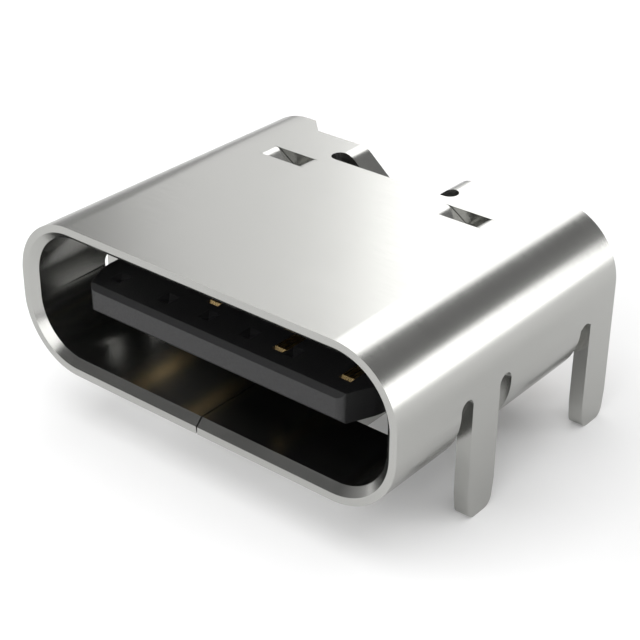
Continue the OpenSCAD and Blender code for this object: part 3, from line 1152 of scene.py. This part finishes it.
@dataclass
class Contact(Moulding):
    """One contact: a strip with a sloped nose, bent down behind the housing and out along the board."""

    position: Position = POSITIONS[0]
    row: Row = Row.UPPER
    slope: float = 0.11
    bend_r: float = 0.10
    drop_y: Span = (6.33, 5.8042)
    jog: Span = (5.42, 0.2842)
    tail_end: float = 7.15
    edge_round: float = 0.008
    bend_steps: int = 8

    def __post_init__(self) -> None:
        """Works out the contact's name and places, and where the strip's upper face runs."""
        upper = self.row is Row.UPPER
        self.node = f"contact_{self.row.value}{self.position.number}"
        self.x = self.row.way * self.position.x
        self.tail_x = self.row.way * self.position.tail_x
        self.start = self.position.start
        self.face_z = self.axis_z + (self.thick / 2 if upper else -self.web_top)
        self.drop = self.drop_y[0 if upper else 1]
        self.outer = self.bend_r + self.contact_t
        self.blade_len = self.drop + self.contact_t - self.outer - self.start
        runs = (
            self.blade_len,
            self.outer * math.pi / 2,
            self.face_z - 2 * self.outer,
            self.bend_r * math.pi / 2,
            self.tail_end - self.drop - self.outer,
        )
        self.stations = [sum(runs[:i]) for i in range(len(runs) + 1)]

    def fold_point(self, x: float, s: float, t: float) -> Point:
        """Says where a point of the flat strip lies in the bent contact.

        Args:
            x: Distance from the strip's middle.
            s: Distance from its nose, along its upper face.
            t: Depth below its upper face.

        Returns:
            The bent point.
        """
        _, first, leg, second, foot, _ = self.stations
        left = self.face_z - self.outer
        back = self.drop + self.outer
        if s < first:
            y, z = self.start + s, self.face_z - t
        elif s < leg:
            turn = (s - first) / self.outer
            reach = self.outer - t
            y, z = self.start + first + reach * math.sin(turn), left + reach * math.cos(turn)
        elif s < second:
            y, z = self.drop + self.contact_t - t, left - (s - leg)
        elif s < foot:
            turn = (s - second) / self.bend_r
            reach = self.bend_r + t
            y, z = back - reach * math.cos(turn), self.outer - reach * math.sin(turn)
        else:
            y, z = back + s - foot, self.contact_t - t
        shift = min(max((self.start + s - self.jog[0]) / self.jog[1], 0), 1)
        return self.x + x + (self.tail_x - self.x) * shift, y, z

    def build(self, material: bpy.types.Material) -> bpy.types.Object:
        """Makes the contact.

        Args:
            material: Its finish.

        Returns:
            The finished contact.
        """
        half, long, t = self.contact_w / 2, self.stations[-1], self.contact_t
        strip = block(self.node + "_strip", (-half, 0, -t), (half, long, 0))
        if self.row is Row.UPPER:
            slice_off(strip, (0, self.slope, 0), (0, -1, 1))
        else:
            slice_off(strip, (0, self.slope, -t), (0, -1, -1))
        soften(strip, self.edge_round, 2)
        _, first, leg, second, foot, _ = self.stations
        lines = [self.jog[0] - self.start, sum(self.jog) - self.start]
        for start, end in ((first, leg), (second, foot)):
            lines += [start + (end - start) * i / self.bend_steps for i in range(self.bend_steps + 1)]
        score(strip, 1, sorted(lines))
        for vertex in strip.data.vertices:
            vertex.co = self.fold_point(vertex.co.x, vertex.co.y, -vertex.co.z)
        polish_normals(strip)
        return self.place(strip, material, "gold_contact", (self.node,))


# ---- Stage ----


@dataclass
class Studio:
    """Floor, camera and lamps."""

    lens: float = 88.8
    eye: Point = (16.769, -22.823, 16.043)
    azimuth: float = 39.17
    elevation: float = 29.62
    roll: float = 0.449
    floor_z: float = -1.00
    floor_size: float = 2000.0
    lamp_distance: float = 400.0
    clip: Span = (0.5, 10000.0)
    paper: str = "#F8F8F8"
    paper_glow: float = 0.08
    # Brightness of the room against the sine of the height, and its fall towards the front wall
    sky_heights: tuple[float, ...] = (0.0, 0.12, 0.28, 0.42, 0.56, 1.0)
    sky_levels: tuple[float, ...] = (0.72, 0.6, 0.5, 0.42, 0.22, 0.18)
    front_wall: float = -0.9
    front_level: float = 0.35

    def floor(self) -> None:
        """Lays a large pale floor under the stakes."""
        deselect()
        bpy.ops.mesh.primitive_plane_add(size=self.floor_size * MM, location=(0, 0, self.floor_z * MM))
        plane = bpy.context.object
        plane.name = "floor"
        settle(plane)
        material, tree, shader = new_material(
            "pale_paper", self.paper, Roughness=0.9, Specular_IOR_Level=0.0
        )
        # White paper lit from below a little: seen and mirrored, but it lights nothing
        path = add_node(tree, "LightPath").outputs
        seen = path["Is Camera Ray"]
        for ray in ("Is Glossy Ray", "Is Transmission Ray"):
            seen = add_node(tree, "Math", {0: seen, 1: path[ray]}, operation="MAXIMUM").outputs[0]
        glow = add_node(tree, "Emission", {"Strength": seen}).outputs[0]
        blend = add_node(tree, "MixShader", {0: self.paper_glow, 1: shader.outputs[0], 2: glow}).outputs[0]
        tree.links.new(blend, tree.nodes["Material Output"].inputs["Surface"])
        plane.data.materials.append(material)

    def camera(self) -> None:
        """Sets the camera at the socket's front right, above it."""
        data = bpy.data.cameras.new("camera")
        data.lens = self.lens
        data.clip_start, data.clip_end = (MM * distance for distance in self.clip)
        camera = bpy.data.objects.new("camera", data)
        bpy.context.collection.objects.link(camera)
        forward = -self.towards(self.azimuth, self.elevation)
        aim = forward.to_track_quat("-Z", "Y")
        camera.rotation_mode = "QUATERNION"
        camera.rotation_quaternion = aim @ Quaternion((0, 0, 1), math.radians(self.roll))
        camera.location = [MM * value for value in self.eye]
        bpy.context.scene.camera = camera

    @staticmethod
    def towards(azimuth: float, elevation: float) -> Vector:
        """Gives the direction from the socket to a place round it.

        Args:
            azimuth: Degrees from the front towards the right side.
            elevation: Degrees above the horizon.

        Returns:
            A unit vector.
        """
        a, e = math.radians(azimuth), math.radians(elevation)
        return Vector((math.sin(a) * math.cos(e), -math.cos(a) * math.cos(e), math.sin(e)))

    def lamp(self, name: str, place: Vector, aim: Vector, size: Span, brightness: float) -> bpy.types.Object:
        """Hangs one rectangular softbox.

        Args:
            name: The lamp's name.
            place: Where its middle is, in millimetres.
            aim: Which way it faces.
            size: Its width and height, in millimetres.
            brightness: How bright its face looks, where white is 1.

        Returns:
            The lamp.
        """
        data = bpy.data.lights.new(name, "AREA")
        data.shape = "RECTANGLE"
        data.size, data.size_y = (MM * side for side in size)
        data.energy = brightness * math.pi * data.size * data.size_y
        lamp = bpy.data.objects.new(name, data)
        bpy.context.collection.objects.link(lamp)
        lamp.location = place * MM
        lamp.rotation_mode = "QUATERNION"
        lamp.rotation_quaternion = aim.to_track_quat("-Z", "Y")
        lamp.visible_camera = False
        return lamp

    def softbox(self, name: str, azimuths: Span, elevations: Span, brightness: float) -> bpy.types.Object:
        """Stands an upright softbox round the socket, between two bearings and two elevations.

        Args:
            name: The lamp's name.
            azimuths: Its two upright edges, in degrees from the front towards the right side.
            elevations: Its lower and upper edge, in degrees above the horizon.
            brightness: How bright its face looks, where white is 1.

        Returns:
            The lamp.
        """
        middle = sum(azimuths) / 2
        width = 2 * self.lamp_distance * math.tan(math.radians(abs(azimuths[1] - azimuths[0]) / 2))
        low, high = (self.lamp_distance * math.tan(math.radians(angle)) for angle in elevations)
        out = self.towards(middle, 0)
        place = out * self.lamp_distance + Vector((0, 0, (low + high) / 2))
        return self.lamp(name, place, -out, (width, high - low), brightness)

    def world(self) -> None:
        """Fills the room with plain light: pale along the horizon, darker overhead and in front."""
        world = bpy.data.worlds.new("room")
        bpy.context.scene.world = world
        world.use_nodes = True
        tree = world.node_tree
        way = add_node(tree, "TexCoord").outputs["Generated"]
        parts = add_node(tree, "SeparateXYZ", {0: way}).outputs
        sky = ramp(tree, parts["Z"], dict(zip(self.sky_heights, self.sky_levels)))
        fall = {"Value": parts["Y"], "From Min": self.front_wall, "From Max": 0.0, "To Min": self.front_level}
        level = add_node(tree, "MapRange", fall).outputs[0]
        tree.links.new(sky, tree.nodes["Background"].inputs["Color"])
        tree.links.new(level, tree.nodes["Background"].inputs["Strength"])

    def light(self) -> None:
        """Sets the lamps."""
        rear = self.softbox("rear_softbox", (180, 217), (16, 56), 2.9)
        rear_left = self.softbox("rear_left_softbox", (217, 228), (8, 50), 0.95)
        self.softbox("right_softbox", (122, 145), (-1, 24), 3.1)
        self.softbox("front_softbox", (0, 42), (8, 42), 2.5)
        overhead = Vector((0, 0, self.lamp_distance))
        self.lamp("top_softbox", overhead, -overhead, (520, 520), 1.75)
        fill = self.softbox("left_fill", (-90, -25), (10, 32), 7.0)
        # The two behind only draw the shine along the shell, and the fill only lifts the shadow
        rear.visible_diffuse = rear_left.visible_diffuse = False
        fill.visible_glossy = False

    def build(self) -> None:
        """Sets up the whole stage."""
        self.floor()
        self.camera()
        self.world()
        self.light()


def main() -> None:
    """Builds the socket's pieces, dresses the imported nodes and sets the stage."""
    logging.basicConfig(level=logging.INFO, format="%(name)s: %(message)s")
    bpy.context.scene.view_settings.view_transform = "Standard"
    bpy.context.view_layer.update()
    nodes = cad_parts

    steel = NickelStrip().make()
    nylon = BlackNylon().make()
    carrier = BlackNylon(name="black_carrier_nylon", colour="#1B1B1D").make()
    gold = GoldPlate().make()
    plate = PlainStrip().make()
    latch = nodes["latch_plate"]
    latch.data.materials.clear()
    latch.data.materials.append(plate)

    FoldedShell().build(steel)
    TongueMould().build(nylon)
    for name in ("upper_carrier", "lower_carrier"):
        Carrier(node=name).build(carrier)
    for row in Row:
        for position in POSITIONS:
            Contact(position=position, row=row).build(gold)
    Studio().build()


if __name__ == "__main__":
    main()
